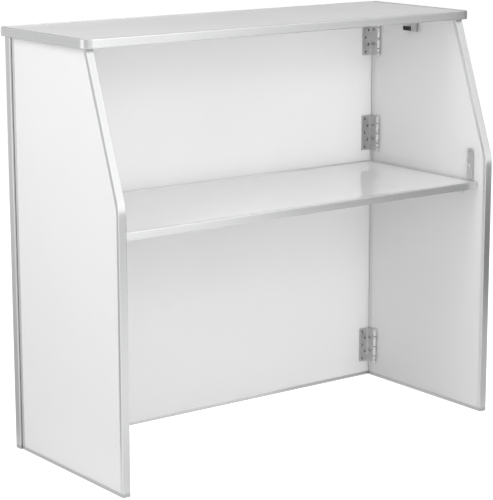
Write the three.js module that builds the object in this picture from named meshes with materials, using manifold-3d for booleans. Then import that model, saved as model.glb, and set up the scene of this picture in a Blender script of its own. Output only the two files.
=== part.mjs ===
// Folding portable bar: a wide front panel, two side panels hinged to it at the
// corners, a removable bar top and a removable service shelf. Every panel is a
// white laminated board with an aluminium U-channel pressed over its edges.
// Millimetres, +Z up. The service side faces -Y and the guest side faces +Y.

import * as THREE from 'three';
import { mergeVertices } from 'three/addons/utils/BufferGeometryUtils.js';
import Module from 'manifold-3d';

const wasm = await Module();
wasm.setup();

// ---------------------------------------------------------------- dimensions
const TOP_W = 1220;            // bar top, width
const TOP_DEPTH = 398;         // bar top, front to back
const TOP_CORNER = 25;         // corner radius of the bar top, service side
const TOP_FAR_CORNER = 16;     // and guest side
const TOTAL_H = 1087;          // floor to bar top
const FRONT_W = 1200;          // front panel, width
const PANEL_H = 1063.2;        // height of the front and side panels
const FRONT_IN = 220;          // y of the front panel's inner face
const EDGE_W = 22;             // width of the edge channel, over its lips
const WALL = 1.2;              // channel wall
const LIP = 9;                 // how far the channel's lips reach onto the board
const FIT = 0.2;               // fit between board and channel
const REBATE = 0.2;            // how much the board's edge is thinned under the lips
const SIDE_X = 573;            // x of a side panel's inner lip face
const SIDE_GAP = 1.5;          // gap between a side panel and the front panel
const SIDE_BASE = 474;         // reach of a side panel at the floor
const SIDE_HEAD = 344;         // reach of a side panel under the top
const BEND_Z = 704;            // where the near edge leans back
const BEND_R = 130;            // radius of that bend
const SHELF_Z = 638;           // top of the service shelf
const SHELF_T = 20;            // edge channel of the shelf
const SHELF_HALF = 569.5;      // half length of the shelf
const SHELF_NEAR = 444;        // reach of the shelf
const SHELF_CORNER = 3;        // radius of its two near corners
const HINGE_H = 100;           // corner hinge, height
const HINGE_Z = [989.5, 718, 92];// centres of the three hinges of a corner
const HINGE_AXIS = 34;         // hinge axis in front of the front panel
const LEAF_W = 32;             // width of the leaf on the front panel
const KNUCKLES = [0, 21, 50.5, 79, 91]; // where the knuckles part, from the head
const KNUCKLE_R = 4.5;
const PIN_R = 2.4;
const LEAF_T = 1.8;
const LATCH_Y = 416.5;           // shelf latch, distance from the front panel
const LATCH_Z = 718;           // height of its pivot screw
const LATCH_W = 20;
const LATCH_UP = 6.5;          // from the pivot to the bar's head and foot
const LATCH_DOWN = 78;
const LATCH_T = 4.4;
const LATCH_WASHER = 2.2;      // holds the bar clear of the panel
const LATCH_SHANK = 2.5;       // radius of the pivot screw
const KNOB_DROP = 39.5;        // from the pivot down to the finger peg
const KNOB_TILT = 37;          // degrees, peg leans upwards
const CLEAT = 20;              // shelf cleats are 20 x 20 angles
const CLEAT_T = 2;
const TAB_D = [175, 196];      // steel tab under the top, from the front panel
const TAB_Z = 1019.5;
const CATCH_D = [143, 174];    // black catch on the side panel
const CATCH_Z = [1021, 1034];

// ------------------------------------------------------------------ materials
const laminate = new THREE.MeshStandardMaterial({ color: 0xe9e9ea, roughness: 0.28, metalness: 0 });
const aluminium = new THREE.MeshStandardMaterial({ color: 0xc3c5c7, roughness: 0.34, metalness: 0.9 });
const steel = new THREE.MeshStandardMaterial({ color: 0x9c9ea0, roughness: 0.38, metalness: 0.95 });
const zinc = new THREE.MeshStandardMaterial({ color: 0xb2b4b6, roughness: 0.3, metalness: 0.9 });
const black = new THREE.MeshStandardMaterial({ color: 0x1b1b1c, roughness: 0.55, metalness: 0 });

// -------------------------------------------------------------------- helpers
const toSolid = (geometry) => {
  const g = geometry.clone();
  g.deleteAttribute('normal');
  g.deleteAttribute('uv');
  const m = mergeVertices(g, 1e-4);
  const tris = [];
  for (let i = 0; i < m.index.count; i += 3) {
    const [a, b, c] = [m.index.getX(i), m.index.getX(i + 1), m.index.getX(i + 2)];
    if (a !== b && b !== c && c !== a) tris.push(a, b, c);
  }
  return new wasm.Manifold(new wasm.Mesh({
    numProp: 3,
    vertProperties: Float32Array.from(m.attributes.position.array),
    triVerts: Uint32Array.from(tris),
  }));
};

const toGeometry = (solid) => {
  const mesh = solid.getMesh();
  const g = new THREE.BufferGeometry();
  const p = new Float32Array(mesh.numVert * 3);
  for (let i = 0; i < mesh.numVert; i++) {
    for (let k = 0; k < 3; k++) p[3 * i + k] = mesh.vertProperties[mesh.numProp * i + k];
  }
  g.setAttribute('position', new THREE.BufferAttribute(p, 3));
  g.setIndex(new THREE.BufferAttribute(Uint32Array.from(mesh.triVerts), 1));
  const flat = g.toNonIndexed();
  flat.computeVertexNormals();
  return flat;
};

// Convex outline with a radius on each corner, moved inwards by inset.
const outline = (corners, inset = 0, steps = 5) => {
  const n = corners.length;
  const lines = corners.map((c, i) => {
    const d = corners[(i + 1) % n];
    const t = new THREE.Vector2(d[0] - c[0], d[1] - c[1]).normalize();
    const inward = new THREE.Vector2(-t.y, t.x);
    return { t, p: new THREE.Vector2(c[0], c[1]).addScaledVector(inward, inset), inward };
  });
  const points = [];
  for (let i = 0; i < n; i++) {
    const a = lines[(i + n - 1) % n];
    const b = lines[i];
    const cross = a.t.x * b.t.y - a.t.y * b.t.x;
    const w = new THREE.Vector2().subVectors(b.p, a.p);
    const s = (w.x * b.t.y - w.y * b.t.x) / cross;
    const corner = a.p.clone().addScaledVector(a.t, s);
    const r = corners[i][2] - inset;
    if (r < 0.3) { points.push(corner); continue; }
    const turn = Math.atan2(cross, a.t.dot(b.t));
    const reach = r * Math.tan(turn / 2);
    const centre = corner.clone().addScaledVector(a.t, -reach).addScaledVector(a.inward, r);
    const a0 = Math.atan2(-a.inward.y, -a.inward.x);
    for (let k = 0; k <= steps; k++) {
      const q = a0 + (turn * k) / steps;
      points.push(new THREE.Vector2(centre.x + r * Math.cos(q), centre.y + r * Math.sin(q)));
    }
  }
  return points;
};

const prism = (points, depth, from = 0) => {
  const g = new THREE.ExtrudeGeometry(new THREE.Shape(points), { depth, bevelEnabled: false, curveSegments: 1 });
  g.translate(0, 0, from);
  return g;
};

const slab = (x0, x1, y0, y1, z0, z1) => {
  const g = new THREE.BoxGeometry(x1 - x0, y1 - y0, z1 - z0);
  g.translate((x0 + x1) / 2, (y0 + y1) / 2, (z0 + z1) / 2);
  return g;
};

const rod = (r, z0, z1, x, y, sides = 16) => {
  const g = new THREE.CylinderGeometry(r, r, z1 - z0, sides);
  g.rotateX(Math.PI / 2);
  g.translate(x, y, (z0 + z1) / 2);
  return g;
};

const union = (first, ...more) => more.reduce((s, g) => s.add(toSolid(g)), toSolid(first));
const minus = (solid, ...cuts) => cuts.reduce((s, g) => s.subtract(toSolid(g)), solid);

const bar = new THREE.Group();
bar.name = 'folding_portable_bar';
const put = (parent, name, geometry, material, mirror = false) => {
  let g = geometry;
  if (mirror) {
    g = geometry.clone();
    g.scale(-1, 1, 1);
    const p = g.index ? g.toNonIndexed() : g;
    const a = p.attributes.position.array;
    for (let i = 0; i < a.length; i += 9) {
      for (let k = 0; k < 3; k++) { const t = a[i + 3 + k]; a[i + 3 + k] = a[i + 6 + k]; a[i + 6 + k] = t; }
    }
    p.computeVertexNormals();
    g = p;
  }
  const mesh = new THREE.Mesh(g, material);
  mesh.name = name;
  parent.add(mesh);
  return mesh;
};

// A board and its channel, both lying in the XY plane with the channel's mid
// plane at z = 0. The board is a little thinner where it enters the channel.
// Where raised is given, the channel leaves the head of the panel bare: raised(d)
// is the panel's outline with its head d higher.
const panel = (corners, edge, raised = () => corners) => {
  const inner = edge - 2 * WALL;
  const full = inner - 2 * FIT;
  const edgeT = full - 2 * REBATE;
  const board = toGeometry(union(
    prism(outline(corners, WALL + FIT), edgeT, -edgeT / 2),
    prism(outline(raised(LIP + 0.3 - WALL - FIT), LIP + 0.3), full, -full / 2),
  ));
  const channel = minus(
    toSolid(prism(outline(corners), edge, -edge / 2)),
    prism(outline(corners, WALL), inner, -inner / 2),
    prism(outline(raised(30), LIP), edge + 20, -edge / 2 - 10),
  );
  return { board, channel: toGeometry(channel) };
};

const addPanel = (name, corners, edge, position, rotation, raised) => {
  const { board, channel } = panel(corners, edge, raised);
  const group = new THREE.Group();
  group.name = `${name}_panel`;
  group.position.set(...position);
  group.rotation.set(...rotation);
  put(group, `${name}_board`, board, laminate);
  put(group, `${name}_trim`, channel, aluminium);
  bar.add(group);
};

// --------------------------------------------------------------------- panels
// Front panel: drawn in x and z, standing with its inner face at FRONT_IN.
addPanel('front', [
  [-FRONT_W / 2, 0, 3], [FRONT_W / 2, 0, 3],
  [FRONT_W / 2, PANEL_H, 3], [-FRONT_W / 2, PANEL_H, 3],
], EDGE_W, [0, FRONT_IN + EDGE_W / 2, 0], [Math.PI / 2, 0, 0]);

// Side panels: drawn with the distance from the front panel and z, the near
// edge upright below the bend and leaning back above it. The head, under the bar
// top, has no channel.
const lean = (SIDE_BASE - SIDE_HEAD) / (PANEL_H - BEND_Z);
const sideOutline = (d) => [
  [-SIDE_BASE, 0, 3], [-SIDE_GAP, 0, 3],
  [-SIDE_GAP, PANEL_H + d, 3], [-SIDE_HEAD + d * lean, PANEL_H + d, 3],
  [-SIDE_BASE, BEND_Z, BEND_R],
];
for (const [name, sign] of [['left', -1], ['right', 1]]) {
  addPanel(name, sideOutline(0), EDGE_W, [sign * (SIDE_X + EDGE_W / 2), FRONT_IN, 0], [Math.PI / 2, Math.PI / 2, 0, 'XYZ'], sideOutline);
}

// Bar top: overhangs the side panels a little all round.
const topNear = FRONT_IN + EDGE_W + 12 - TOP_DEPTH;
addPanel('top', [
  [-TOP_W / 2, topNear, TOP_CORNER], [TOP_W / 2, topNear, TOP_CORNER],
  [TOP_W / 2, topNear + TOP_DEPTH, TOP_FAR_CORNER], [-TOP_W / 2, topNear + TOP_DEPTH, TOP_FAR_CORNER],
], EDGE_W, [0, 0, TOTAL_H - EDGE_W / 2], [0, 0, 0]);

// Service shelf between the side panels.
addPanel('shelf', [
  [-SHELF_HALF, FRONT_IN - SHELF_NEAR, SHELF_CORNER], [SHELF_HALF, FRONT_IN - SHELF_NEAR, SHELF_CORNER],
  [SHELF_HALF, FRONT_IN - 2, 3], [-SHELF_HALF, FRONT_IN - 2, 3],
], SHELF_T, [0, 0, SHELF_Z - SHELF_T / 2], [0, 0, 0]);

// --------------------------------------------------------------- corner hinges
// Right-hand hinge in plan. The cranked leaf lies on the front panel, turns the
// corner and runs along the side panel to the knuckle; the second leaf lies
// between it and the side panel.
const faceY = FRONT_IN + WALL + FIT;          // front board's inner face
const axisX = SIDE_X - 0.3 - KNUCKLE_R;
const axisY = FRONT_IN - HINGE_AXIS;
const legX1 = SIDE_X - 0.4 - LEAF_T;          // side leaf, inner side
const hinge = () => {
  const top = HINGE_H / 2;
  const slice = (i, clear) => [top - KNUCKLES[i + 1] - clear, top - KNUCKLES[i] + clear];
  const xa = legX1 - 0.3 - LEAF_T;
  const xb = legX1 - 0.3;
  const legFrom = faceY - 0.2;
  const front = new THREE.Shape([
    [xb - LEAF_W, legFrom - LEAF_T], [xa, legFrom - LEAF_T], [xa, axisY], [xb, axisY], [xb, legFrom], [xb - LEAF_W, legFrom],
  ].map((p) => new THREE.Vector2(...p)));
  const frontPlate = new THREE.ExtrudeGeometry(front, { depth: HINGE_H, bevelEnabled: false });
  frontPlate.translate(0, 0, -HINGE_H / 2);
  const sidePlate = slab(legX1, SIDE_X - 0.4, axisY, FRONT_IN - 5, -HINGE_H / 2, HINGE_H / 2);
  const knuckle = (i) => {
    const [z0, z1] = slice(i, -0.25);
    return rod(KNUCKLE_R, z0, z1, axisX, axisY, 14);
  };
  const room = (i) => {
    const [z0, z1] = slice(i, 0.25);
    return slab(axisX - KNUCKLE_R - 0.6, SIDE_X + 4, axisY - KNUCKLE_R - 1, axisY + KNUCKLE_R + 0.6, z0, z1);
  };
  // The pin ends in a bulb below the last knuckle.
  const tipRoom = slab(axisX - KNUCKLE_R - 0.6, SIDE_X + 4, axisY - KNUCKLE_R - 1, axisY + KNUCKLE_R + 0.6, -HINGE_H, top - KNUCKLES[4] + 0.25);
  const bulb = new THREE.LatheGeometry([
    [0, -51.5], [2.6, -51], [4, -49.5], [4.3, -47], [4, -43], [3.2, -41.6], [0, -41.6],
  ].map((q) => new THREE.Vector2(...q)), 14);
  bulb.rotateX(Math.PI / 2);
  bulb.translate(axisX, axisY, 0);
  const bore = rod(PIN_R + 0.3, -HINGE_H, HINGE_H, axisX, axisY, 12);
  const frontLeaf = minus(minus(toSolid(frontPlate), room(1), room(3), tipRoom).add(toSolid(knuckle(0))).add(toSolid(knuckle(2))), bore);
  const sideLeaf = minus(minus(toSolid(sidePlate), room(0), room(2), tipRoom).add(toSolid(knuckle(1))).add(toSolid(knuckle(3))), bore);
  const pin = toGeometry(toSolid(rod(PIN_R, -45, top + 0.8, axisX, axisY, 12)).add(toSolid(bulb)));
  return { front_leaf: toGeometry(frontLeaf), side_leaf: toGeometry(sideLeaf), pin };
};
const hingeParts = hinge();
for (const side of ['left', 'right']) {
  ['top', 'mid', 'low'].forEach((level, i) => {
    const group = new THREE.Group();
    group.name = `${side}_hinge_${level}`;
    group.position.z = HINGE_Z[i];
    for (const piece of ['front_leaf', 'side_leaf', 'pin']) {
      put(group, `${side}_hinge_${level}_${piece}`, hingeParts[piece], steel, side === 'left');
    }
    bar.add(group);
  });
}

// -------------------------------------------------------------- shelf supports
const boardX = SIDE_X + WALL + FIT;            // side board's inner face
const shelfUnder = SHELF_Z - SHELF_T;
const angle = (w, t) => [[0, 0], [t, 0], [t, w - t], [w, w - t], [w, w], [0, w]].map((p) => new THREE.Vector2(...p));
const cleat = new THREE.ExtrudeGeometry(new THREE.Shape(angle(CLEAT, CLEAT_T)), { depth: 350, bevelEnabled: false });
cleat.rotateX(Math.PI / 2);                    // drawn in x and z, running towards -Y
{
  const right = cleat.clone();
  right.scale(-1, 1, 1);
  const p = right.toNonIndexed ? (right.index ? right.toNonIndexed() : right) : right;
  const a = p.attributes.position.array;
  for (let i = 0; i < a.length; i += 9) {
    for (let k = 0; k < 3; k++) { const t = a[i + 3 + k]; a[i + 3 + k] = a[i + 6 + k]; a[i + 6 + k] = t; }
  }
  p.translate(boardX - FIT, FRONT_IN - 40, shelfUnder - 0.3 - CLEAT);
  p.computeVertexNormals();
  put(bar, 'right_shelf_cleat', p, aluminium);
  put(bar, 'left_shelf_cleat', p, aluminium, true);
}
const ledger = new THREE.ExtrudeGeometry(new THREE.Shape(angle(CLEAT, CLEAT_T)), { depth: 220, bevelEnabled: false });
ledger.rotateX(Math.PI / 2);
ledger.rotateZ(-Math.PI / 2);                  // upright flange on the front board
ledger.translate(110, faceY - FIT, shelfUnder - 0.3 - CLEAT);
put(bar, 'front_shelf_ledger', ledger, aluminium);

// --------------------------------------------------------------- shelf latches
// A flat bar hangs from a pivot screw on the side panel, its foot just above the
// shelf's edge. A washer holds it clear of the panel and a finger peg turns it.
// Drawn in y and z from the pivot, then run along x.
const acrossX = new THREE.Matrix4().makeBasis(
  new THREE.Vector3(0, 1, 0), new THREE.Vector3(0, 0, 1), new THREE.Vector3(1, 0, 0));
const alongX = (r, x0, x1, sides) => {
  const g = rod(r, x0, x1, 0, 0, sides);
  g.rotateY(Math.PI / 2);
  return g;
};
const latchY = FRONT_IN - LATCH_Y;
const washerX = boardX - FIT - LATCH_WASHER;
const barX1 = washerX - 0.2;
const barX0 = barX1 - LATCH_T;
const half = LATCH_W / 2;
const barShape = new THREE.Shape([
  [-half + 3, -LATCH_DOWN], [half - 3, -LATCH_DOWN], [half, -LATCH_DOWN + 3], [half, LATCH_UP - 1.5],
  [half - 1.5, LATCH_UP], [-half + 5, LATCH_UP], [-half, LATCH_UP - 6], [-half, -LATCH_DOWN + 3],
].map((q) => new THREE.Vector2(...q)));
const barPlate = new THREE.ExtrudeGeometry(barShape, { depth: LATCH_T, bevelEnabled: false });
barPlate.applyMatrix4(acrossX);
barPlate.translate(barX0, 0, 0);
const latchBar = toGeometry(minus(toSolid(barPlate), alongX(LATCH_SHANK + 0.5, barX0 - 5, barX1 + 5, 14)));
const latchWasher = toGeometry(minus(
  toSolid(alongX(5.5, washerX, boardX - FIT, 18)), alongX(LATCH_SHANK + 0.5, washerX - 5, boardX + 5, 14)));
const screwHead = new THREE.LatheGeometry([
  [0, 0], [3.9, 0], [3.9, 1.1], [3.2, 2], [0, 2.6],
].map((q) => new THREE.Vector2(...q)), 18);
screwHead.rotateZ(Math.PI / 2);
screwHead.translate(barX0 - 0.2, 0, 0);
const latchScrew = toGeometry(toSolid(screwHead).add(toSolid(alongX(LATCH_SHANK, barX0 - 1, boardX - FIT, 14))));
const peg = new THREE.LatheGeometry([
  [0, 0], [2.7, 0], [2.7, 16.2], [2.3, 17.7], [1.3, 18.6], [0, 19],
].map((q) => new THREE.Vector2(...q)), 12);
peg.rotateZ(Math.PI / 2);
peg.rotateY(THREE.MathUtils.degToRad(KNOB_TILT));
peg.translate(-0.6, 0, 0);
const collar = new THREE.LatheGeometry([
  [0, 0], [4, 0], [4, 0.8], [3.2, 1.4], [0, 1.4],
].map((q) => new THREE.Vector2(...q)), 16);
collar.rotateZ(Math.PI / 2);
const behind = slab(0, 10, -10, 10, -10, 10);
const latchPeg = toGeometry(minus(toSolid(collar).add(toSolid(peg)), behind));
latchPeg.translate(barX0 - 0.2, 0, -KNOB_DROP);
for (const side of ['left', 'right']) {
  const group = new THREE.Group();
  group.name = `${side}_shelf_latch`;
  group.position.set(0, latchY, LATCH_Z);
  put(group, `${side}_latch_bar`, latchBar, zinc, side === 'left');
  put(group, `${side}_latch_peg`, latchPeg, steel, side === 'left');
  put(group, `${side}_latch_washer`, latchWasher, zinc, side === 'left');
  put(group, `${side}_latch_screw`, latchScrew, steel, side === 'left');
  bar.add(group);
}

// ---------------------------------------------------------- catches of the top
// A steel angle under the top drops inside the side panel, beside a black
// magnetic catch that holds it.
const underTop = TOTAL_H - EDGE_W + WALL + FIT;
const tabX = SIDE_X - 2.5;
const tabPlan = [
  [tabX, TAB_Z], [tabX, underTop - 0.2], [tabX - 26, underTop - 0.2], [tabX - 26, underTop - 2.4], [tabX - 7, underTop - 2.4], [tabX - 7, TAB_Z],
].map((p) => new THREE.Vector2(...p));
const tab = new THREE.ExtrudeGeometry(new THREE.Shape(tabPlan), { depth: TAB_D[1] - TAB_D[0], bevelEnabled: false });
tab.rotateX(Math.PI / 2);
tab.translate(0, FRONT_IN - TAB_D[0], 0);
const cd = CATCH_D.map((v) => FRONT_IN - v);
const catchPlan = [[boardX - FIT, cd[0]]];
for (let i = 0; i < 3; i++) {
  const step = (cd[0] - cd[1]) / 3;
  const a = cd[0] - step * i;
  catchPlan.push([boardX - 11, a], [boardX - 13.5, a - 1.8], [boardX - 13.5, a - step + 1.8], [boardX - 11, a - step]);
}
catchPlan.push([boardX - FIT, cd[1]]);
const unique = catchPlan.filter((p, i) => i === 0 || Math.hypot(p[0] - catchPlan[i - 1][0], p[1] - catchPlan[i - 1][1]) > 1e-6);
const catchBody = new THREE.ExtrudeGeometry(new THREE.Shape(unique.map((p) => new THREE.Vector2(...p))), { depth: CATCH_Z[1] - CATCH_Z[0], bevelEnabled: false });
catchBody.translate(0, 0, CATCH_Z[0]);
for (const side of ['left', 'right']) {
  put(bar, `${side}_top_tab`, tab, zinc, side === 'left');
  put(bar, `${side}_top_catch`, catchBody, black, side === 'left');
}

export default bar;
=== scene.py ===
# Looks of a folding portable bar: white laminated boards edged with aluminium
# channel, steel corner hinges, shelf latches and magnetic catches, standing on a
# pale studio floor.
import math

import bmesh
import bpy
from mathutils import Matrix, Vector


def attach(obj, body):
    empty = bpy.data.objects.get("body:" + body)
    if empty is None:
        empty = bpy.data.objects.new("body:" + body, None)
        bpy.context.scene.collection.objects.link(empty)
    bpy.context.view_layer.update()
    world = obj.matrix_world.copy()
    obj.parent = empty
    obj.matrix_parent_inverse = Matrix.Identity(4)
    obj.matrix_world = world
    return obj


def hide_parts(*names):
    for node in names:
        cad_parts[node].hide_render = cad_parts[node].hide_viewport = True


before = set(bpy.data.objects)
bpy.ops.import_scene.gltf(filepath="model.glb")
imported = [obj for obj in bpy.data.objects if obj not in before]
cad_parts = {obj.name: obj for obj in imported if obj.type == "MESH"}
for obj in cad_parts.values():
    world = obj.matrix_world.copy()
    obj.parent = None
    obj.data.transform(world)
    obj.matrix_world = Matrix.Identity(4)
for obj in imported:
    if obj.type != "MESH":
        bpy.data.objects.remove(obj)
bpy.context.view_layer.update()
scene = bpy.context.scene
MM = 0.001
DATUM = -5.0  # the pieces are drawn with the front panel's inner face at y = 225; in the part's frame it is at 220

# ------------------------------------------------------------------ dimensions
EDGE_W, SHELF_T, WALL, LIP = 22.0, 20.0, 1.2, 9.0
FRONT_IN = 225.0
PANEL_H = 1063.2
SIDE_MID = 584.0            # x of a side panel's mid plane
TOP_MID = 1076.0            # z of the bar top's mid plane
SHELF_MID = 628.0           # z of the shelf's mid plane
HINGE_Z = {"top": 989.5, "mid": 718.0, "low": 92.0}
HINGE_H = 100.0
AXIS = (568.2, 191.0)       # hinge axis, right-hand corner
KNUCKLES = (0.0, 21.0, 50.5, 79.0, 91.0)
LATCH = (-191.5, 718.0)     # pivot of a shelf latch, y and z


# ---------------------------------------------------------------- camera, light
def make_camera():
    data = bpy.data.cameras.new("camera")
    data.sensor_fit = "HORIZONTAL"
    data.sensor_width = 36.0
    data.lens = 1919.73 / 493.0 * 36.0
    data.clip_end = 200.0
    cam = bpy.data.objects.new("camera", data)
    scene.collection.objects.link(cam)
    yaw, pitch, roll = 0.64154, 0.21424, -0.00171
    forward = Vector((math.sin(yaw) * math.cos(pitch), math.cos(yaw) * math.cos(pitch), -math.sin(pitch)))
    right = Vector((math.cos(yaw), -math.sin(yaw), 0.0))
    up = right.cross(forward)
    r = right * math.cos(roll) + up * math.sin(roll)
    u = up * math.cos(roll) - right * math.sin(roll)
    turn = Matrix((r, u, -forward)).transposed().to_4x4()
    cam.matrix_world = Matrix.Translation((-2.96504, -3.92186, 1.55526)) @ turn
    scene.camera = cam


def softbox(name, place, aim, width, height, radiance):
    """A soft light that fills without drawing its own outline in the metal."""
    data = bpy.data.lights.new(name, "AREA")
    data.shape = "RECTANGLE"
    data.size, data.size_y = width, height
    data.energy = radiance * math.pi * width * height
    lamp = bpy.data.objects.new(name, data)
    scene.collection.objects.link(lamp)
    lamp.location = place
    lamp.rotation_mode = "QUATERNION"
    lamp.rotation_quaternion = (Vector(aim) - Vector(place)).to_track_quat("-Z", "Y")
    lamp.visible_camera = False
    lamp.visible_glossy = False
    return lamp


class Tree:
    """Short ways to add value nodes to the surroundings."""

    def __init__(self, nt):
        self.nt = nt
        nt.nodes.clear()

    def add(self, kind):
        return self.nt.nodes.new(kind)

    def join(self, a, b):
        self.nt.links.new(a, b)

    def math(self, op, a, b=0.0):
        n = self.add("ShaderNodeMath")
        n.operation = op
        for i, v in enumerate((a, b)):
            if isinstance(v, (int, float)):
                n.inputs[i].default_value = v
            else:
                self.join(v, n.inputs[i])
        return n.outputs[0]

    def ramp(self, value, stops, full):
        """Brightness by azimuth in degrees (0 in front of the service side, positive to the right)."""
        n = self.add("ShaderNodeValToRGB")
        n.color_ramp.interpolation = "LINEAR"
        el = n.color_ramp.elements
        while len(el) > 1:
            el.remove(el[-1])
        for i, (az, v) in enumerate(stops):
            e = el[0] if i == 0 else el.new((az + 180.0) / 360.0)
            e.position = (az + 180.0) / 360.0
            e.color = (v / full, v / full, v / full, 1.0)
        self.join(value, n.inputs[0])
        return self.math("MULTIPLY", n.outputs[0], full)

    def step(self, value, f0, f1, t0, t1):
        n = self.add("ShaderNodeMapRange")
        n.interpolation_type = "SMOOTHSTEP"
        for i, v in enumerate((f0, f1, t0, t1)):
            n.inputs[i + 1].default_value = v
        self.join(value, n.inputs[0])
        return n.outputs[0]

    def turn(self, x, y):
        return self.math("ADD", self.math("DIVIDE", self.math("ARCTAN2", x, self.math("MULTIPLY", y, -1.0)), 2 * math.pi), 0.5)

    def pick(self, flag, yes, no):
        keep = self.math("MULTIPLY", self.math("SUBTRACT", 1.0, flag), no)
        return self.math("ADD", self.math("MULTIPLY", flag, yes), keep)


def make_light():
    world = bpy.data.worlds.new("studio")
    scene.world = world
    world.use_nodes = True
    t = Tree(world.node_tree)
    out, back = t.add("ShaderNodeOutputWorld"), t.add("ShaderNodeBackground")
    coord, split, path = t.add("ShaderNodeTexCoord"), t.add("ShaderNodeSeparateXYZ"), t.add("ShaderNodeLightPath")
    t.join(coord.outputs["Generated"], split.inputs[0])
    x, y, z = split.outputs
    walls = t.ramp(t.turn(x, y), ((-180, 0.8), (-150, 1.0), (-128, 1.0), (-118, 1.1), (-111, 1.15), (-82, 1.15), (-72, 0.7), (-64, 0.5), (-38, 0.5), (-28, 1.1),
                                  (16, 1.15), (24, 2.45), (38, 2.45), (46, 0.35), (53, 0.25), (62, 0.6), (100, 0.6), (150, 0.6), (180, 0.85)), 4.0)
    cap = t.step(z, 0.62, 0.78, 0.0, 1.0)
    mirror_look = t.pick(cap, 1.5, walls)
    level = t.pick(path.outputs["Is Glossy Ray"], mirror_look, 0.48)
    t.join(t.pick(path.outputs["Is Camera Ray"], 1.3, level), back.inputs["Strength"])
    t.join(back.outputs[0], out.inputs[0])
    softbox("left_softbox", (-2.5, -0.12, 2.15), (-0.6, 0.0, 1.0), 1.5, 2.2, 3.6)
    softbox("front_softbox", (-0.1, -3.25, 1.45), (0.0, 0.0, 0.65), 2.3, 2.4, 1.9)
    softbox("front_high_softbox", (-0.1, -2.6, 2.55), (0.0, 0.1, 0.7), 2.0, 1.2, 1.8)
    softbox("front_low_fill", (-0.1, -3.3, 0.75), (0.0, 0.0, 0.6), 2.8, 1.3, 1.0)
    softbox("left_front_fill", (-2.0, -3.1, 1.6), (0.0, 0.0, 0.6), 2.0, 2.0, 0.9)
    softbox("overhead_softbox", (0.0, -0.4, 3.4), (0.0, 0.0, 0.0), 3.2, 3.2, 0.55)
    softbox("guest_side_fill", (0.0, 3.2, 0.56), (0.0, 0.0, 0.56), 1.05, 0.95, 9.0)
    softbox("right_fill", (3.0, 0.0, 0.56), (0.0, 0.0, 0.56), 0.42, 0.95, 16.0)
    scene.view_settings.view_transform = "Standard"
    scene.view_settings.look = "None"
    scene.view_settings.exposure = 0.0
    scene.view_settings.gamma = 1.0


def make_floor():
    mesh = bpy.data.meshes.new("floor")
    s = 60.0
    mesh.from_pydata([(-s, -s, 0), (s, -s, 0), (s, s, 0), (-s, s, 0)], [], [(0, 1, 2, 3)])
    floor = bpy.data.objects.new("floor", mesh)
    floor.location.z = -0.0004
    scene.collection.objects.link(floor)
    mat = bpy.data.materials.new("pale_floor")
    mat.use_nodes = True
    t = Tree(mat.node_tree)
    out, path, place, split = (t.add(k) for k in ("ShaderNodeOutputMaterial", "ShaderNodeLightPath", "ShaderNodeNewGeometry", "ShaderNodeSeparateXYZ"))
    t.join(place.outputs["Position"], split.inputs[0])
    x, y, _ = split.outputs
    reach = t.math("SQRT", t.math("ADD", t.math("MULTIPLY", x, x), t.math("MULTIPLY", y, y)))
    sweep = t.ramp(t.turn(x, y), ((-180, 0.6), (-165, 0.68), (-120, 0.68), (-108, 0.85), (-14, 0.88), (20, 0.93), (29, 0.66), (37, 0.1),
                                  (41, 0.03), (44, 0.0), (48, 0.0), (60, 0.28), (90, 0.3), (140, 0.4), (180, 0.6)), 2.0)
    far = t.ramp(t.turn(x, y), ((-180, 0.0), (-120, 0.0), (-111, 0.75), (-82, 0.75), (-72, 0.0), (22, 0.0), (27, 0.24), (33, 0.45), (38, 0.46), (42, 0.4), (47, 0.32), (55, 0.1), (65, 0.0)), 1.0)
    front = t.step(y, -0.1, 0.1, 1.0, 0.0)
    lift = t.math("MULTIPLY", t.step(reach, 0.5, 1.0, 0.28, 0.42), t.step(reach, 1.3, 2.5, 1.0, 0.0))
    lift = t.math("MULTIPLY", t.math("MULTIPLY", lift, front), t.math("SUBTRACT", 1.1, sweep))
    sweep = t.math("ADD", t.math("MULTIPLY", sweep, t.pick(front, 1.0, t.step(reach, 0.7, 4.5, 0.75, 1.0))), lift)
    sweep = t.math("ADD", sweep, t.math("MULTIPLY", far, t.step(reach, 3.7, 4.7, 0.0, 1.0)))
    sweep = t.pick(t.step(reach, 0.5, 0.85, 1.0, 0.0), 0.8, sweep)
    glow, mirror_look = t.add("ShaderNodeEmission"), t.add("ShaderNodeEmission")
    glow.inputs["Strength"].default_value = 0.86
    t.join(sweep, mirror_look.inputs["Strength"])
    pale, paper = t.add("ShaderNodeBsdfDiffuse"), t.add("ShaderNodeBsdfDiffuse")
    pale.inputs["Color"].default_value = (0.45, 0.45, 0.45, 1)
    paper.inputs["Color"].default_value = (0.70, 0.70, 0.70, 1)
    seen, bounce, mix = t.add("ShaderNodeAddShader"), t.add("ShaderNodeMixShader"), t.add("ShaderNodeMixShader")
    t.join(glow.outputs[0], seen.inputs[0])
    t.join(pale.outputs[0], seen.inputs[1])
    t.join(path.outputs["Is Glossy Ray"], bounce.inputs[0])
    t.join(paper.outputs[0], bounce.inputs[1])
    t.join(mirror_look.outputs[0], bounce.inputs[2])
    t.join(path.outputs["Is Camera Ray"], mix.inputs[0])
    t.join(bounce.outputs[0], mix.inputs[1])
    t.join(seen.outputs[0], mix.inputs[2])
    t.join(mix.outputs[0], out.inputs["Surface"])
    mesh.materials.append(mat)


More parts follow.
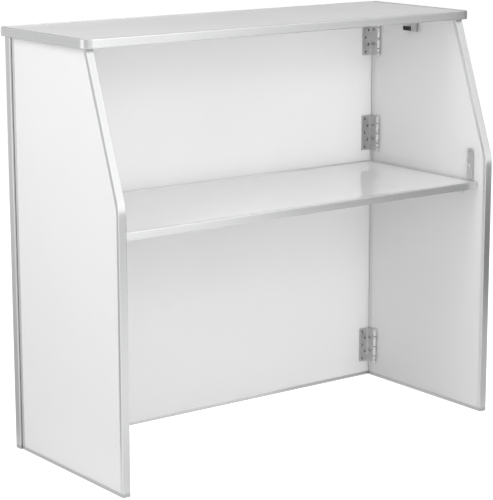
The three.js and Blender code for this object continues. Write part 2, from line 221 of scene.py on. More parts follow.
# -------------------------------------------------------------------- materials
class Nodes:
    """A material's node tree with short ways to add and join nodes."""

    def __init__(self, name):
        self.mat = bpy.data.materials.new(name)
        self.mat.use_nodes = True
        self.nt = self.mat.node_tree
        self.bsdf = self.nt.nodes["Principled BSDF"]

    def add(self, kind, **values):
        n = self.nt.nodes.new(kind)
        for k, v in values.items():
            if hasattr(n, k):
                setattr(n, k, v)
            else:
                n.inputs[k].default_value = v
        return n

    def join(self, a, b):
        self.nt.links.new(a, b)

    def coords(self, kind="Object", scale=(1, 1, 1), uv=None, rotation=(0, 0, 0)):
        if uv:
            src = self.add("ShaderNodeUVMap", uv_map=uv).outputs["UV"]
        else:
            src = self.add("ShaderNodeTexCoord").outputs[kind]
        m = self.add("ShaderNodeMapping")
        m.inputs["Scale"].default_value = scale
        m.inputs["Rotation"].default_value = rotation
        self.join(src, m.inputs["Vector"])
        return m.outputs["Vector"]

    def noise(self, vector, scale, detail=2.0, rough=0.5):
        n = self.add("ShaderNodeTexNoise")
        n.inputs["Scale"].default_value = scale
        n.inputs["Detail"].default_value = detail
        n.inputs["Roughness"].default_value = rough
        self.join(vector, n.inputs["Vector"])
        return n.outputs["Fac"]

    def spread(self, value, lo, hi, f0=0.3, f1=0.7):
        n = self.add("ShaderNodeMapRange")
        n.clamp = True
        for k, v in zip(("From Min", "From Max", "To Min", "To Max"), (f0, f1, lo, hi)):
            n.inputs[k].default_value = v
        self.join(value, n.inputs["Value"])
        return n.outputs["Result"]

    def math(self, op, a, b):
        n = self.add("ShaderNodeMath", operation=op)
        for i, v in enumerate((a, b)):
            if isinstance(v, (int, float)):
                n.inputs[i].default_value = v
            else:
                self.join(v, n.inputs[i])
        return n.outputs[0]

    def tint(self, fac, a, b):
        n = self.add("ShaderNodeMix", data_type="RGBA")
        n.inputs["A"].default_value = (*a, 1.0) if len(a) == 3 else a
        n.inputs[6].default_value = (*a, 1.0)
        n.inputs[7].default_value = (*b, 1.0)
        self.join(fac, n.inputs[0])
        return n.outputs[2]

    def tint_over(self, fac, base, b):
        n = self.add("ShaderNodeMix", data_type="RGBA")
        self.join(base, n.inputs[6])
        n.inputs[7].default_value = (*b, 1.0)
        self.join(fac, n.inputs[0])
        return n.outputs[2]

    def bump(self, height, strength, distance, normal=None):
        n = self.add("ShaderNodeBump")
        n.inputs["Strength"].default_value = strength
        n.inputs["Distance"].default_value = distance
        self.join(height, n.inputs["Height"])
        if normal is not None:
            self.join(normal, n.inputs["Normal"])
        return n.outputs["Normal"]

    def surface(self, color=None, rough=None, normal=None, **constants):
        if color is not None:
            self.join(color, self.bsdf.inputs["Base Color"])
        if rough is not None:
            self.join(rough, self.bsdf.inputs["Roughness"])
        if normal is not None:
            self.join(normal, self.bsdf.inputs["Normal"])
        for k, v in constants.items():
            self.bsdf.inputs[k.replace("_", " ")].default_value = v
        return self.mat


def grey(v):
    return (v, v, v)


def make_laminate(name, dull, texture):
    """White melamine face: even colour with a faint cloud, a pearl texture and light wipe marks in the gloss."""
    m = Nodes(name)
    p = m.coords()
    cloud = m.noise(p, 2.2, 3.0, 0.55)
    wipe = m.noise(m.coords(scale=(5, 5, 2.5)), 1.0, 2.0, 0.5)
    fleck = m.noise(p, 1400.0, 1.0, 0.5)
    base = m.tint(m.spread(cloud, 0.0, 1.0, 0.3, 0.7), (0.872, 0.872, 0.874), (0.892, 0.892, 0.891))
    base = m.tint_over(m.spread(fleck, 0.0, 0.05, 0.55, 0.75), base, (0.80, 0.80, 0.80))
    rough = m.spread(wipe, dull[0], dull[1], 0.3, 0.7)
    pearl = m.noise(p, 620.0, 1.5, 0.5)
    return m.surface(base, rough, m.bump(pearl, 0.06 * texture, 0.00012), IOR=1.5)


def make_aluminium():
    """Satin channel: die lines run along the length, with softer bands and scuffs; the rounded corners are lighter,
    partly wear and partly painted highlight, and the foot carries a painted shade.
    """
    m = Nodes("edge_aluminium")
    fine = m.noise(m.coords(uv="Run", scale=(5.0, 5200.0, 1)), 1.0, 2.0, 0.6)
    band = m.noise(m.coords(uv="Run", scale=(0.9, 620.0, 1)), 1.0, 2.0, 0.5)
    scuff = m.noise(m.coords(uv="Run", scale=(55.0, 260.0, 1)), 1.0, 5.0, 0.65)
    wear_and_sheen = m.add("ShaderNodeAttribute", attribute_name="edge").outputs["Fac"]
    base = m.tint(m.spread(band, 0.0, 1.0, 0.3, 0.7), (0.74, 0.745, 0.75), (0.83, 0.832, 0.836))
    base = m.tint_over(m.spread(scuff, 0.0, 0.35, 0.62, 0.8), base, (0.62, 0.62, 0.625))
    # painted highlight with wear: the channel's rounded corners get a lighter base colour
    base = m.tint_over(m.math("MULTIPLY", wear_and_sheen, 0.6), base, (0.90, 0.90, 0.905))
    # painted shade: the base colour darkens towards 0.42 over the bottom 7 to 13 mm of the channel, next to the floor
    height_up = m.add("ShaderNodeSeparateXYZ")
    m.join(m.coords(), height_up.inputs[0])
    foot_painted_shade = m.spread(height_up.outputs[2], 0.5, 0.0, 0.007, 0.013)
    base = m.tint_over(foot_painted_shade, base, (0.42, 0.42, 0.42))
    rough = m.spread(fine, 0.25, 0.37, 0.25, 0.75)
    rough = m.math("ADD", rough, m.spread(scuff, 0.0, 0.12, 0.55, 0.8))
    rough = m.math("SUBTRACT", rough, m.math("MULTIPLY", wear_and_sheen, 0.08))
    height = m.math("ADD", m.math("MULTIPLY", fine, 0.6), m.math("MULTIPLY", band, 0.6))
    along = m.add("ShaderNodeTangent", direction_type="UV_MAP", uv_map="Run")
    m.join(along.outputs["Tangent"], m.bsdf.inputs["Tangent"])
    return m.surface(base, rough, m.bump(height, 0.10, 0.00006), Metallic=1.0, Anisotropic=0.75, Anisotropic_Rotation=0.25)


def make_steel(name, dark, light, r0, r1, along=2, blot=0.3, stain=None):
    """Sheet steel: rolled grain along one axis, cloudy tarnish and small marks."""
    m = Nodes(name)
    s = [900.0, 900.0, 900.0]
    s[along] = 14.0
    grain = m.noise(m.coords(scale=s), 1.0, 3.0, 0.6)
    p = m.coords()
    cloud = m.noise(p, 75.0, 4.0, 0.6)
    speck = m.noise(p, 420.0, 3.0, 0.7)
    base = m.tint(m.spread(grain, 0.0, 1.0, 0.3, 0.7), dark, light)
    base = m.tint_over(m.spread(cloud, 0.0, blot, 0.45, 0.7), base, stain or tuple(v * 0.55 for v in dark))
    base = m.tint_over(m.spread(speck, 0.0, 0.35, 0.62, 0.78), base, tuple(v * 0.5 for v in dark))
    rough = m.math("ADD", m.spread(grain, r0, r1, 0.3, 0.7), m.spread(cloud, 0.0, 0.12, 0.45, 0.75))
    height = m.math("ADD", m.math("MULTIPLY", grain, 0.7), m.math("MULTIPLY", speck, 0.5))
    return m.surface(base, rough, m.bump(height, 0.12, 0.00008), Metallic=1.0)


def make_black():
    """Moulded plastic with a fine spark-eroded texture and scuffed high spots."""
    m = Nodes("black_plastic")
    p = m.coords()
    fine = m.noise(p, 2600.0, 2.0, 0.6)
    scuff = m.noise(p, 160.0, 4.0, 0.65)
    base = m.tint(m.spread(scuff, 0.0, 1.0, 0.4, 0.75), (0.012, 0.012, 0.0125), (0.035, 0.035, 0.035))
    rough = m.spread(scuff, 0.42, 0.6, 0.3, 0.7)
    return m.surface(base, rough, m.bump(fine, 0.25, 0.00012))


def make_recess():
    """Oxide and dirt in the bottom of a screw slot, darkened further as painted shade."""
    m = Nodes("slot_dirt_and_shade")
    p = m.coords()
    n = m.noise(p, 900.0, 3.0, 0.6)
    base = m.tint(m.spread(n, 0.0, 1.0, 0.3, 0.7), (0.012, 0.0115, 0.011), (0.035, 0.034, 0.033))
    return m.surface(base, m.spread(n, 0.6, 0.85, 0.3, 0.7), m.bump(n, 0.3, 0.0002))


MAT = {}


def make_materials():
    MAT["laminate"] = make_laminate("white_laminate", (0.2, 0.235), 1.0)
    MAT["shelf"] = make_laminate("shelf_laminate", (0.015, 0.03), 0.06)
    MAT["aluminium"] = make_aluminium()
    MAT["hinge"] = make_steel("hinge_steel", grey(0.67), grey(0.77), 0.30, 0.42, along=2, blot=0.22)
    # painted highlight: the barrels get a lighter copy of the hinge steel
    MAT["knuckle"] = make_steel("hinge_barrel_painted_highlight", grey(0.80), grey(0.90), 0.20, 0.30, along=2, blot=0.08)
    MAT["polished"] = make_steel("polished_steel", grey(0.90), grey(0.95), 0.10, 0.16, along=2, blot=0.03)
    MAT["zinc"] = make_steel("zinc_plate", grey(0.62), grey(0.70), 0.34, 0.44, along=2, blot=0.18)
    MAT["tab"] = make_steel("tab_plate", grey(0.49), grey(0.56), 0.36, 0.46, along=2, blot=0.18)
    MAT["bright"] = make_steel("bright_steel", grey(0.70), grey(0.78), 0.16, 0.24, along=2, blot=0.10)
    MAT["black"] = make_black()
    MAT["recess"] = make_recess()
    MAT["angle"] = make_steel("angle_aluminium", grey(0.70), grey(0.78), 0.32, 0.42, along=1, blot=0.12)


# ---------------------------------------------------------------- mesh building
def piece(name, bm, mats, body, node=None, smooth=35.0, bevel=None, segments=2):
    """Turns a bmesh (in millimetres) into a piece that rides on a body and may stand for a node."""
    bmesh.ops.recalc_face_normals(bm, faces=bm.faces)
    bmesh.ops.translate(bm, vec=Vector((0, DATUM, 0)), verts=bm.verts)
    bmesh.ops.scale(bm, vec=Vector((MM, MM, MM)), verts=bm.verts)
    mesh = bpy.data.meshes.new(name)
    bm.to_mesh(mesh)
    bm.free()
    obj = bpy.data.objects.new(name, mesh)
    scene.collection.objects.link(obj)
    for m in mats:
        mesh.materials.append(MAT[m])
    for f in mesh.polygons:
        f.use_smooth = True
    mesh.set_sharp_from_angle(angle=math.radians(smooth))
    if bevel:
        b = obj.modifiers.new("edges", "BEVEL")
        b.width = bevel * MM
        b.segments = segments
        b.limit_method = "ANGLE"
        b.angle_limit = math.radians(35.0)
        b.harden_normals = True
    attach(obj, body)
    if node:
        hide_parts(*([node] if isinstance(node, str) else node))
    return obj


def mirror(bm):
    bmesh.ops.scale(bm, vec=Vector((-1, 1, 1)), verts=bm.verts)
    bmesh.ops.reverse_faces(bm, faces=bm.faces)


def prism(bm, points, place, w0, w1):
    """Closed prism over a plan outline; place(a, b, w) gives the point in space."""
    lo = [bm.verts.new(place(a, b, w0)) for a, b in points]
    hi = [bm.verts.new(place(a, b, w1)) for a, b in points]
    bm.faces.new(list(reversed(lo)))
    bm.faces.new(hi)
    n = len(points)
    for i in range(n):
        j = (i + 1) % n
        bm.faces.new((lo[i], lo[j], hi[j], hi[i]))


def lathe(bm, profile, place, steps=40, mat=0):
    """Turns (radius, height) points round an axis; radius 0 closes an end. place(x, y, h)."""
    rings = []
    for r, h in profile:
        if r <= 1e-6:
            rings.append([bm.verts.new(place(0, 0, h))])
        else:
            rings.append([bm.verts.new(place(r * math.cos(2 * math.pi * k / steps), r * math.sin(2 * math.pi * k / steps), h)) for k in range(steps)])
    for a, b in zip(rings, rings[1:]):
        for k in range(steps):
            q = (k + 1) % steps
            if len(a) == 1 and len(b) > 1:
                f = bm.faces.new((a[0], b[q], b[k]))
            elif len(b) == 1 and len(a) > 1:
                f = bm.faces.new((a[k], a[q], b[0]))
            elif len(a) > 1:
                f = bm.faces.new((a[k], a[q], b[q], b[k]))
            else:
                continue
            f.material_index = mat
    return rings


def tube(bm, r_out, r_in, h0, h1, place, chamfer=0.4, steps=44):
    """A hollow barrel with eased ends."""
    c = chamfer
    prof = [(r_in, h0 + c * 0.5), (r_in + c * 0.5, h0), (r_out - c, h0), (r_out - c * 0.3, h0 + c * 0.3), (r_out, h0 + c),
            (r_out, h1 - c), (r_out - c * 0.3, h1 - c * 0.3), (r_out - c, h1), (r_in + c * 0.5, h1), (r_in, h1 - c * 0.5)]
    rings = []
    for r, h in prof:
        rings.append([bm.verts.new(place(r * math.cos(2 * math.pi * k / steps), r * math.sin(2 * math.pi * k / steps), h)) for k in range(steps)])
    n = len(rings)
    for i in range(n):
        a, b = rings[i], rings[(i + 1) % n]
        for k in range(steps):
            q = (k + 1) % steps
            bm.faces.new((a[k], a[q], b[q], b[k]))


def screw(bm, place, radius, height, kind, angle, depth=1.1, mat=0, dirt_and_shade=1, sink=0.4, wide=0.27):
    """A screw head with its recess. place(x, y, h) has h pointing out of the surface."""
    ca, sa = math.cos(angle), math.sin(angle)
    if kind == "slot":
        a, w = radius * 0.88, radius * wide
        loop = [(a * t, -w) for t in (-1, -0.6, -0.2, 0.2, 0.6)] + [(a, -w), (a, -w / 3), (a, w / 3)]
        loop += [(a * t, w) for t in (1, 0.6, 0.2, -0.2, -0.6)] + [(-a, w), (-a, w / 3), (-a, -w / 3)]
    else:
        a, w = radius * 0.52, radius * 0.14
        arm = [(a, -w), (a, w), (w * 1.25, w * 1.25)]
        loop = []
        for k in range(4):
            c, s = math.cos(k * math.pi / 2), math.sin(k * math.pi / 2)
            loop += [(x * c - y * s, x * s + y * c) for x, y in arm]
    first = math.atan2(loop[0][1], loop[0][0])
    n = len(loop)
    turn = lambda x, y: (x * ca - y * sa, x * sa + y * ca)
    split = 4

    def ring(r, h):
        return [bm.verts.new(place(*turn(r * math.cos(first + 2 * math.pi * k / (n * split)), r * math.sin(first + 2 * math.pi * k / (n * split))), h)) for k in range(n * split)]

    rings = [ring(radius, -sink), ring(radius, height * 0.55), ring(radius * 0.96, height * 0.82), ring(radius * 0.89, height)]
    for a_, b_ in zip(rings, rings[1:]):
        for k in range(n * split):
            q = (k + 1) % (n * split)
            bm.faces.new((a_[k], a_[q], b_[q], b_[k])).material_index = mat
    bm.faces.new(list(reversed(rings[0]))).material_index = mat
    top = [bm.verts.new(place(*turn(x, y), height)) for x, y in loop]
    low = [bm.verts.new(place(*turn(x * 0.94, y * 0.8), height - depth)) for x, y in loop]
    outer = rings[-1]
    for k in range(n):
        q = (k + 1) % n
        fan = [outer[(k * split + j) % (n * split)] for j in range(split + 1)]
        bm.faces.new(fan + [top[q], top[k]]).material_index = mat
        # painted shade with dirt: the slot's walls and floor take the dark recess material
        bm.faces.new((top[k], top[q], low[q], low[k])).material_index = dirt_and_shade
    bm.faces.new(low).material_index = dirt_and_shade


# --------------------------------------------------------------- edge channels
def channel_profile(edge):
    """Closed outline of the channel's section: (inset, across, wear and sheen), the last weighting the rounded corners
    that are lightened partly as wear and partly as painted highlight.
    """
    h, r, t, e = edge / 2, 1.3, WALL, 0.35
    pts = [(LIP - e, h, 0.0), (r + 0.6, h, 0.0)]
    for k in range(6):
        q = math.pi / 2 * k / 5
        pts.append((r - r * math.sin(q), h - r + r * math.cos(q), 1.0 if 0 < k < 5 else 0.6))
    pts += [(0, h - r - 0.7, 0.0), (0, 0, 0.0), (0, -h + r + 0.7, 0.0)]
    for k in range(6):
        q = math.pi / 2 * k / 5
        pts.append((r - r * math.cos(q), -h + r - r * math.sin(q), 1.0 if 0 < k < 5 else 0.6))
    pts += [(r + 0.6, -h, 0.0), (LIP - e, -h, 0.0), (LIP - 0.1, -h + 0.1, 0.5), (LIP, -h + e, 0.5), (LIP, -h + t - 0.2, 0.0), (LIP - 0.2, -h + t, 0.0)]
    pts += [(t, -h + t, 0.0), (t, h - t, 0.0), (LIP - 0.2, h - t, 0.0), (LIP, h - t + 0.2, 0.0), (LIP, h - e, 0.5), (LIP - 0.1, h - 0.1, 0.5)]
    return pts


def stations(corners, start=None, bare=None, gap=0.35):
    """Splits a panel outline into runs of channel. corners: (a, b, radius or None for a mitre). With no
    mitre the run goes right round from a butt joint at start, which is (edge, distance from its beginning).
    The edge numbered bare has no channel, and the runs beside it end flush with it."""
    n = len(corners)
    pts = [Vector((c[0], c[1])) for c in corners]
    along = [(pts[(i + 1) % n] - pts[i]).normalized() for i in range(n)]
    inward = [Vector((-t.y, t.x)) for t in along]

    def corner(i):
        """Stations of corner i, from the edge before it to the edge after it."""
        ta, tb, na, nb = along[i - 1], along[i], inward[i - 1], inward[i]
        r = corners[i][2]
        if r is None:
            d = (na + nb) / (1.0 + na.dot(nb))
            return [(pts[i], d)]
        turn = math.atan2(ta.x * tb.y - ta.y * tb.x, ta.dot(tb))
        reach = r * math.tan(turn / 2)
        centre = pts[i] - ta * reach + na * r
        a0 = math.atan2(-na.y, -na.x)
        steps = max(6, int(math.degrees(abs(turn)) / 4.5))
        made = []
        for k in range(steps + 1):
            q = a0 + turn * k / steps
            o = Vector((math.cos(q), math.sin(q)))
            made.append((centre + o * r, -o))
        return made

    breaks = [i for i in range(n) if corners[i][2] is None]
    runs = []
    if not breaks:
        e, s = start
        p = pts[e] + along[e] * s
        run = [(p + along[e] * gap / 2, inward[e])]
        for k in range(1, n + 1):
            run += corner((e + k) % n)
        run.append((p - along[e] * gap / 2, inward[e]))
        return [run]
    for b, c in zip(breaks, breaks[1:] + [breaks[0] + n]):
        if b == bare:
            continue
        p, d = corner(b)[0]
        if bare is not None and (b - 1) % n == bare:
            d = along[bare] / along[bare].dot(inward[b])
        run = [(p + along[b] * gap / 2, d)]
        for k in range(b + 1, c):
            run += corner(k % n)
        p, d = corner(c % n)[0]
        if c % n == bare:
            d = along[bare] / along[bare].dot(inward[c - 1])
        run.append((p - along[(c - 1) % n] * gap / 2, d))
        runs.append(run)
    return runs


def channel(name, corners, edge, place, body, start=None, bare=None):
    bm = bmesh.new()
    uv = bm.loops.layers.uv.new("Run")
    # per-vertex weight of the lightened corners: partly wear, partly painted highlight
    wear_and_sheen = bm.verts.layers.float.new("edge")
    prof = channel_profile(edge)
    m = len(prof)
    across = [0.0]
    for j in range(m):
        a, b = prof[j], prof[(j + 1) % m]
        across.append(across[-1] + math.hypot(b[0] - a[0], b[1] - a[1]))
    offset = 0.0
    for run in stations(corners, start, bare):
        dense = [run[0]]
        for s in run[1:]:
            p, d = dense[-1]
            length = (s[0] - p).length
            parts = max(1, int(length / 60.0))
            for k in range(1, parts):
                f = k / parts
                dense.append((p.lerp(s[0], f), d.lerp(s[1], f)))
            dense.append(s)
        # straight stretches keep their own direction between two ends
        grid, run_at = [], [offset]
        for i, (p, d) in enumerate(dense):
            if i:
                run_at.append(run_at[-1] + (p - dense[i - 1][0]).length)
            row = []
            for u, w, e in prof:
                q = p + d * u
                v = bm.verts.new(place(q.x, q.y, w))
                v[wear_and_sheen] = e
                row.append(v)
            grid.append(row)
        for i in range(len(grid) - 1):
            for j in range(m):
                k = (j + 1) % m
                f = bm.faces.new((grid[i][j], grid[i][k], grid[i + 1][k], grid[i + 1][j]))
                for loop, (a, b) in zip(f.loops, ((i, j), (i, j + 1), (i + 1, j + 1), (i + 1, j))):
                    loop[uv].uv = (run_at[a] * MM, across[b] * MM)
        for row, at in ((grid[0], run_at[0]), (grid[-1], run_at[-1])):
            f = bm.faces.new(row)
            for loop, j in zip(f.loops, range(m)):
                loop[uv].uv = (at * MM + prof[j][0] * MM, across[j] * MM)
        offset = run_at[-1] + 400.0
    return piece(name + "_channel", bm, ["aluminium"], body, name, smooth=32.0)


def make_panels():
    w = 600.0
    channel("front_trim", [(-w, 0, None), (w, 0, None), (w, PANEL_H, None), (-w, PANEL_H, None)], EDGE_W,
            lambda a, b, c: (a, FRONT_IN + 11.0 + c, b), "front")
    side = [(-474.0, 0, None), (-1.5, 0, None), (-1.5, PANEL_H, None), (-344.0, PANEL_H, None), (-474.0, 704.0, 130.0)]
    for name, sign in (("left", -1), ("right", 1)):
        channel(f"{name}_trim", side, EDGE_W, lambda a, b, c, s=sign: (s * (SIDE_MID + c), FRONT_IN + a, b), f"{name}_side", bare=2)
    near, far = -139.0, 259.0
    channel("top_trim", [(-610.0, near, 25.0), (610.0, near, 25.0), (610.0, far, 16.0), (-610.0, far, 16.0)], EDGE_W,
            lambda a, b, c: (a, b, TOP_MID + c), "top", start=(0, 319.0))
    channel("shelf_trim", [(-569.5, -219.0, None), (569.5, -219.0, None), (569.5, 223.0, None), (-569.5, 223.0, None)], SHELF_T,
            lambda a, b, c: (a, b, SHELF_MID + c), "shelf")
    for n in ("front", "left", "right", "top", "shelf"):
        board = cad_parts[f"{n}_board"]
        board.data.materials.clear()
        board.data.materials.append(MAT["shelf" if n == "shelf" else "laminate"])


# ----------------------------------------------------------------------- hinges
def sheet(bm, path, zs, keep, thick, corner=2.5):
    """Bent sheet metal: path gives the middle line in plan, zs the heights of its cuts, keep(i, j) whether
    the cell between path points i, i+1 and heights j, j+1 is there. The first end has rounded corners."""
    n = len(path)
    normals = []
    for i in range(n):
        a, b = Vector(path[max(0, i - 1)]), Vector(path[min(n - 1, i + 1)])
        t = (b - a).normalized()
        normals.append(Vector((-t.y, t.x)))
    front, back = {}, {}

    def vert(table, i, j, side):
        if (i, j) not in table:
            s = (Vector(path[i]) - Vector(path[0])).length
            z = zs[j]
            if s < corner and j in (0, len(zs) - 1):
                cut = corner - math.sqrt(max(0.0, corner ** 2 - (corner - s) ** 2))
                z += -cut if z > 0 else cut
            p = Vector(path[i]) + normals[i] * side * thick / 2
            table[(i, j)] = bm.verts.new((p.x, p.y, z))
        return table[(i, j)]

    cells = {(i, j) for i in range(n - 1) for j in range(len(zs) - 1) if keep(i, j)}
    for i, j in cells:
        ring = ((i, j), (i + 1, j), (i + 1, j + 1), (i, j + 1))
        bm.faces.new([vert(front, *q, 1) for q in ring])
        bm.faces.new([vert(back, *q, -1) for q in reversed(ring)])
        for (p, q), other in zip(zip(ring, ring[1:] + ring[:1]), ((i, j - 1), (i + 1, j), (i, j + 1), (i - 1, j))):
            if other not in cells:
                bm.faces.new((vert(front, *q, 1), vert(front, *p, 1), vert(back, *p, -1), vert(back, *q, -1)))


def barrel_place(x, y, h):
    return (AXIS[0] + x, AXIS[1] + y, h)


def slices(own):
    top = HINGE_H / 2
    return [(top - KNUCKLES[i + 1] + 0.9, top - KNUCKLES[i] - (0.9 if i else 0.0)) for i in own]


def front_leaf():
    bm = bmesh.new()
    y, x = 225.3, 569.6
    path = [(538.5 + d, y) for d in (0, 0.25, 0.7, 1.4, 2.5)] + [(552.0, y), (567.2, y)]
    path += [(567.2 + 2.4 * math.sin(math.radians(a)), y - 2.4 + 2.4 * math.cos(math.radians(a))) for a in (15, 30, 45, 60, 75, 90)]
    path += [(x, 215.0), (x, 196.3), (x, AXIS[1] + 2.2)]
    zs = [50.0, 29.25, -0.75, -28.75, -50.0]
    last = len(path) - 2
    sheet(bm, path, zs, lambda i, j: i < last or j in (0, 2), 1.8)
    for z0, z1 in slices((0, 2)):
        tube(bm, 4.5, 2.65, z0, z1, barrel_place)
    return bm


def side_leaf():
    bm = bmesh.new()
    x = 571.7
    path = [(x, 220.0 - d) for d in (0, 0.25, 0.7, 1.4, 2.5)] + [(x, 206.0), (x, 196.3), (x, AXIS[1] + 2.2)]
    zs = [50.0, 28.75, -0.25, -29.25, -40.75, -50.0]
    last = len(path) - 2
    sheet(bm, path, zs, lambda i, j: i < last or j in (1, 3), 1.8)
    for z0, z1 in slices((1, 3)):
        tube(bm, 4.5, 2.65, z0, z1, barrel_place)
    return bm


def hinge_pin():
    bm = bmesh.new()
    prof = [(0, -51.5), (1.4, -51.4), (2.6, -51.0), (3.5, -50.2), (4.0, -49.2), (4.3, -47.6), (4.3, -46.0), (4.1, -44.4), (3.7, -43.0), (3.1, -41.9),
            (2.4, -41.6), (2.4, 50.2), (2.2, 50.6), (1.6, 50.8), (0, 50.85)]
    lathe(bm, prof, barrel_place, 36)
    return bm


SCREW_TURNS = {"top": (35, 62, 48, 70, 55), "mid": (118, 52, 80, 58, 62), "low": (95, 76, 66, 58, 54)}


def front_screws(level):
    bm = bmesh.new()
    for (x, z), a in zip(((548.0, 39.5), (558.5, 19.5), (548.0, -0.5), (558.5, -20.5), (548.0, -40.5)), SCREW_TURNS[level]):
        screw(bm, lambda u, v, h, x=x, z=z: (x + u, 224.4 - h, z + v), 4.1, 1.5, "slot", math.radians(a), 1.35, wide=0.41)
    return bm


def side_screws(level):
    bm = bmesh.new()
    for z, a in zip((22.0, -17.5), SCREW_TURNS[level]):
        screw(bm, lambda u, v, h, z=z: (570.8 - h, 211.0 - u, z + v), 3.4, 1.2, "slot", math.radians(a + 20), 0.5, sink=0.3, wide=0.16)
    return bm


def cut_holes(obj, holes):
    """Drills round holes through a piece along x."""
    bm = bmesh.new()
    for y, z, r in holes:
        lathe(bm, [(0, 0), (r, 0), (r, 12.0), (0, 12.0)], lambda u, v, h, y=y, z=z: (563.0 + h, y + u, z + v), 28)
    bmesh.ops.recalc_face_normals(bm, faces=bm.faces)
    bmesh.ops.scale(bm, vec=Vector((MM, MM, MM)), verts=bm.verts)
    mesh = bpy.data.meshes.new("drill")
    bm.to_mesh(mesh)
    bm.free()
    tool = bpy.data.objects.new("drill", mesh)
    scene.collection.objects.link(tool)
    b = obj.modifiers.new("holes", "BOOLEAN")
    b.operation, b.solver, b.object = "DIFFERENCE", "EXACT", tool
    bpy.context.view_layer.update()
    dg = bpy.context.evaluated_depsgraph_get()
    made = bpy.data.meshes.new_from_object(obj.evaluated_get(dg))
    obj.modifiers.clear()
    old = obj.data
    obj.data = made
    bpy.data.meshes.remove(old)
    bpy.data.objects.remove(tool)
    bpy.data.meshes.remove(mesh)


def drilled_leaf():
    """The front leaf with two round openings in its leg, over the side leaf's screws."""
    bm = front_leaf()
    bmesh.ops.recalc_face_normals(bm, faces=bm.faces)
    bmesh.ops.scale(bm, vec=Vector((MM, MM, MM)), verts=bm.verts)
    mesh = bpy.data.meshes.new("leaf")
    bm.to_mesh(mesh)
    bm.free()
    obj = bpy.data.objects.new("leaf", mesh)
    scene.collection.objects.link(obj)
    cut_holes(obj, [(211.0, 22.0, 4.1), (211.0, -17.5, 4.1)])
    done = bmesh.new()
    done.from_mesh(obj.data)
    bmesh.ops.scale(done, vec=Vector((1000, 1000, 1000)), verts=done.verts)
    bpy.data.objects.remove(obj)
    return done


def make_hinges():
    leaf = drilled_leaf()
    for side in ("left", "right"):
        for level, z in HINGE_Z.items():
            name = f"{side}_hinge_{level}"
            parts = {
                "front_leaf": (leaf.copy(), "front", True),
                "side_leaf": (side_leaf(), f"{side}_side", True),
                "pin": (hinge_pin(), "front", True),
                "front_screws": (front_screws(level), "front", False),
                "side_screws": (side_screws(level), f"{side}_side", False),
            }
            for part, (bm, body, stands) in parts.items():
                bmesh.ops.translate(bm, vec=Vector((0, 0, z)), verts=bm.verts)
                if side == "left":
                    mirror(bm)
                screws = part.endswith("screws")
                # painted shade: the pin's shaft, seen only in the gaps between the knuckles, takes the dark recess
                # material, while its ends keep the barrel steel
                if part == "pin":
                    for f in bm.faces:
                        f.material_index = int(all(-41.7 < v.co.z - z < 50.3 for v in f.verts))
                # painted highlight: the leaves' barrel faces take the lighter barrel steel
                if part.endswith("leaf"):
                    side_x = -AXIS[0] if side == "left" else AXIS[0]
                    for f in bm.faces:
                        f.material_index = int(all(math.hypot(v.co.x - side_x, v.co.y - AXIS[1]) < 4.6 for v in f.verts))
                piece(f"{name}_{part}_form" if stands else f"{name}_{part}", bm, ["hinge", "recess"] if screws else ["knuckle", "recess"] if part == "pin" else ["hinge", "knuckle"], body,
                      f"{name}_{part}" if stands else None,
                      bevel=0.28 if part.endswith("leaf") else None)
    leaf.free()


# ---------------------------------------------------------------- shelf latches
def round_outline(points, radii, steps=5):
    """Plan outline with a radius at each corner."""
    made = []
    n = len(points)
    for i in range(n):
        p, a, b = Vector(points[i]), Vector(points[i - 1]), Vector(points[(i + 1) % n])
        r = radii[i]
        ta, tb = (a - p).normalized(), (b - p).normalized()
        if r <= 0:
            made.append(tuple(p))
            continue
        half = math.acos(max(-1.0, min(1.0, ta.dot(tb)))) / 2
        reach = r / math.tan(half)
        s, e = p + ta * reach, p + tb * reach
        c = p + (ta + tb).normalized() * (r / math.sin(half))
        a0, a1 = math.atan2(s.y - c.y, s.x - c.x), math.atan2(e.y - c.y, e.x - c.x)
        d = (a1 - a0 + math.pi) % (2 * math.pi) - math.pi
        for k in range(steps + 1):
            q = a0 + d * k / steps
            made.append((c.x + r * math.cos(q), c.y + r * math.sin(q)))
    return made


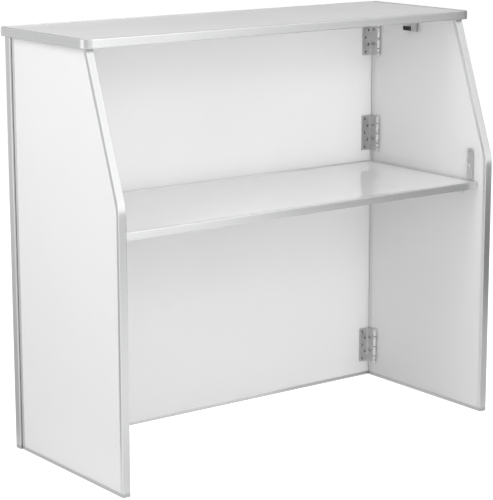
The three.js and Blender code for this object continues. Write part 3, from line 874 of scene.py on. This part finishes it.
def make_latches():
    bar_x1 = 574.2 - 2.2 - 0.2
    bar_x0 = bar_x1 - 4.4
    y0, z0 = LATCH
    outline = round_outline([(-10, -78), (10, -78), (10, 6.5), (-5, 6.5), (-10, 0.5)], [3.2, 3.2, 1.8, 1.2, 1.2])
    tilt = math.radians(37.0)

    def out_of_bar(u, v, h):
        return (bar_x0 - 0.2 - h, y0 + u, z0 + v)

    def peg_place(u, v, h):
        h = h - 0.2
        return (bar_x0 - 0.2 - h * math.cos(tilt) - v * math.sin(tilt) * -1.0, y0 + u, z0 - 39.5 + v * math.cos(tilt) + h * math.sin(tilt))

    for side in ("left", "right"):
        parts = {}
        bm = bmesh.new()
        prism(bm, outline, lambda a, b, w: (w, y0 + a, z0 + b), bar_x0, bar_x1)
        parts["latch_bar"] = (bm, ["zinc"], f"{side}_latch", "zinc_plate", 0.6)
        bm = bmesh.new()
        lathe(bm, [(0, 0), (4.0, 0), (4.0, 0.7), (3.7, 1.15), (3.1, 1.4), (0, 1.4)], lambda u, v, h: (bar_x0 - 0.2 - h, y0 + u, z0 - 39.5 + v), 32)
        lathe(bm, [(0, 0.6), (2.4, 0.6), (2.4, 13.6), (2.5, 14.6), (2.8, 15.4), (2.9, 16.2), (2.9, 17.2), (2.6, 18.2), (1.8, 18.9), (0.9, 19.2), (0, 19.25)], peg_place, 28)
        parts["latch_peg"] = (bm, ["polished"], f"{side}_latch", "bright_steel", None)
        bm = bmesh.new()
        tube(bm, 5.5, 3.0, 0.0, 2.2, lambda x, y, h: (574.2 - h, y0 + x, z0 + y), 0.25, 36)
        parts["latch_washer"] = (bm, ["zinc"], f"{side}_side", "zinc_plate", None)
        bm = bmesh.new()
        screw(bm, out_of_bar, 3.9, 2.2, "slot", math.radians(70), 1.2)
        lathe(bm, [(0, -0.2), (2.5, -0.2), (2.5, -6.8), (0, -6.8)], out_of_bar, 24)
        parts["latch_screw"] = (bm, ["bright", "recess"], f"{side}_side", "bright_steel", None)
        for part, (bm, mats, body, slot, bevel) in parts.items():
            if side == "left":
                mirror(bm)
            piece(f"{side}_{part}_form", bm, mats, body, f"{side}_{part}", bevel=bevel, segments=3)


# -------------------------------------------------------------- catches of top
def make_catches():
    under = 1065.0 + WALL + 0.2
    x = 570.5
    tab = round_outline([(x, 1019.5), (x, under - 0.2), (x - 26, under - 0.2), (x - 26, under - 2.4), (x - 7, under - 2.4), (x - 7, 1019.5)],
                        [1.0, 1.2, 0.0, 0.0, 1.5, 1.0])
    cy = (82.0, 51.0)
    step = (cy[0] - cy[1]) / 3
    lobes = [(574.2, cy[0])]
    for i in range(3):
        a = cy[0] - step * i
        for k in range(9):
            q = math.pi * k / 8
            lobes.append((563.4 - 2.5 * math.sin(q) ** 0.8, a - 0.4 - (step - 0.8) * (1 - math.cos(q)) / 2))
    lobes.append((574.2, cy[1]))
    for side in ("left", "right"):
        bm = bmesh.new()
        prism(bm, tab, lambda a, b, w: (a, w, b), 29.0, 50.0)
        if side == "left":
            mirror(bm)
        piece(f"{side}_top_tab_form", bm, ["tab"], "top", f"{side}_top_tab", bevel=0.5)
        bm = bmesh.new()
        for y in (34.5, 44.5):
            screw(bm, lambda u, v, h, y=y: (553.5 + u, y + v, under - 2.4 - h), 3.2, 1.4, "cross", math.radians(20 + y), 1.0)
        if side == "left":
            mirror(bm)
        piece(f"{side}_top_tab_screws", bm, ["bright", "recess"], "top")
        bm = bmesh.new()
        prism(bm, lobes, lambda a, b, w: (a, b, w), 1021.0, 1032.8)
        if side == "left":
            mirror(bm)
        piece(f"{side}_top_catch_form", bm, ["black"], f"{side}_side", f"{side}_top_catch", bevel=0.5)
        bm = bmesh.new()
        plate = round_outline([(574.2, 82.0), (561.4, 82.0), (561.4, 51.0), (574.2, 51.0)], [0.3, 1.5, 1.5, 0.3])
        prism(bm, plate, lambda a, b, w: (a, b, w), 1032.9, 1034.3)
        if side == "left":
            mirror(bm)
        piece(f"{side}_top_catch_plate", bm, ["bright"], f"{side}_side", bevel=0.2)


# --------------------------------------------------------------- small fasteners
def make_fasteners():
    for side in ("left", "right"):
        bm = bmesh.new()
        for z in (615.0,):
            screw(bm, lambda u, v, h, z=z: (573.0 - h, -243.5 + u, z + v), 2.4, 0.8, "cross", 0.6, 0.65, sink=0.3)
        if side == "left":
            mirror(bm)
        piece(f"{side}_lip_screw", bm, ["bright", "recess"], f"{side}_side")
        bm = bmesh.new()
        for y in (160.0, 40.0, -130.0):
            screw(bm, lambda u, v, h, y=y: (572.2 - h, y + u, 606.0 + v), 3.4, 1.5, "cross", math.radians(y), 1.0)
        if side == "left":
            mirror(bm)
        piece(f"{side}_cleat_screws", bm, ["bright", "recess"], f"{side}_side")
    bm = bmesh.new()
    for x in (-85.0, 0.0, 85.0):
        screw(bm, lambda u, v, h, x=x: (x + u, 224.2 - h, 606.0 + v), 3.4, 1.5, "cross", math.radians(x), 1.0)
    piece("ledger_screws", bm, ["bright", "recess"], "front")
    for n in ("left_shelf_cleat", "right_shelf_cleat", "front_shelf_ledger"):
        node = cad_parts[n]
        node.data.materials.clear()
        node.data.materials.append(MAT["angle"])


make_camera()
make_light()
make_floor()
make_materials()
make_panels()
make_hinges()
make_latches()
make_catches()
make_fasteners()
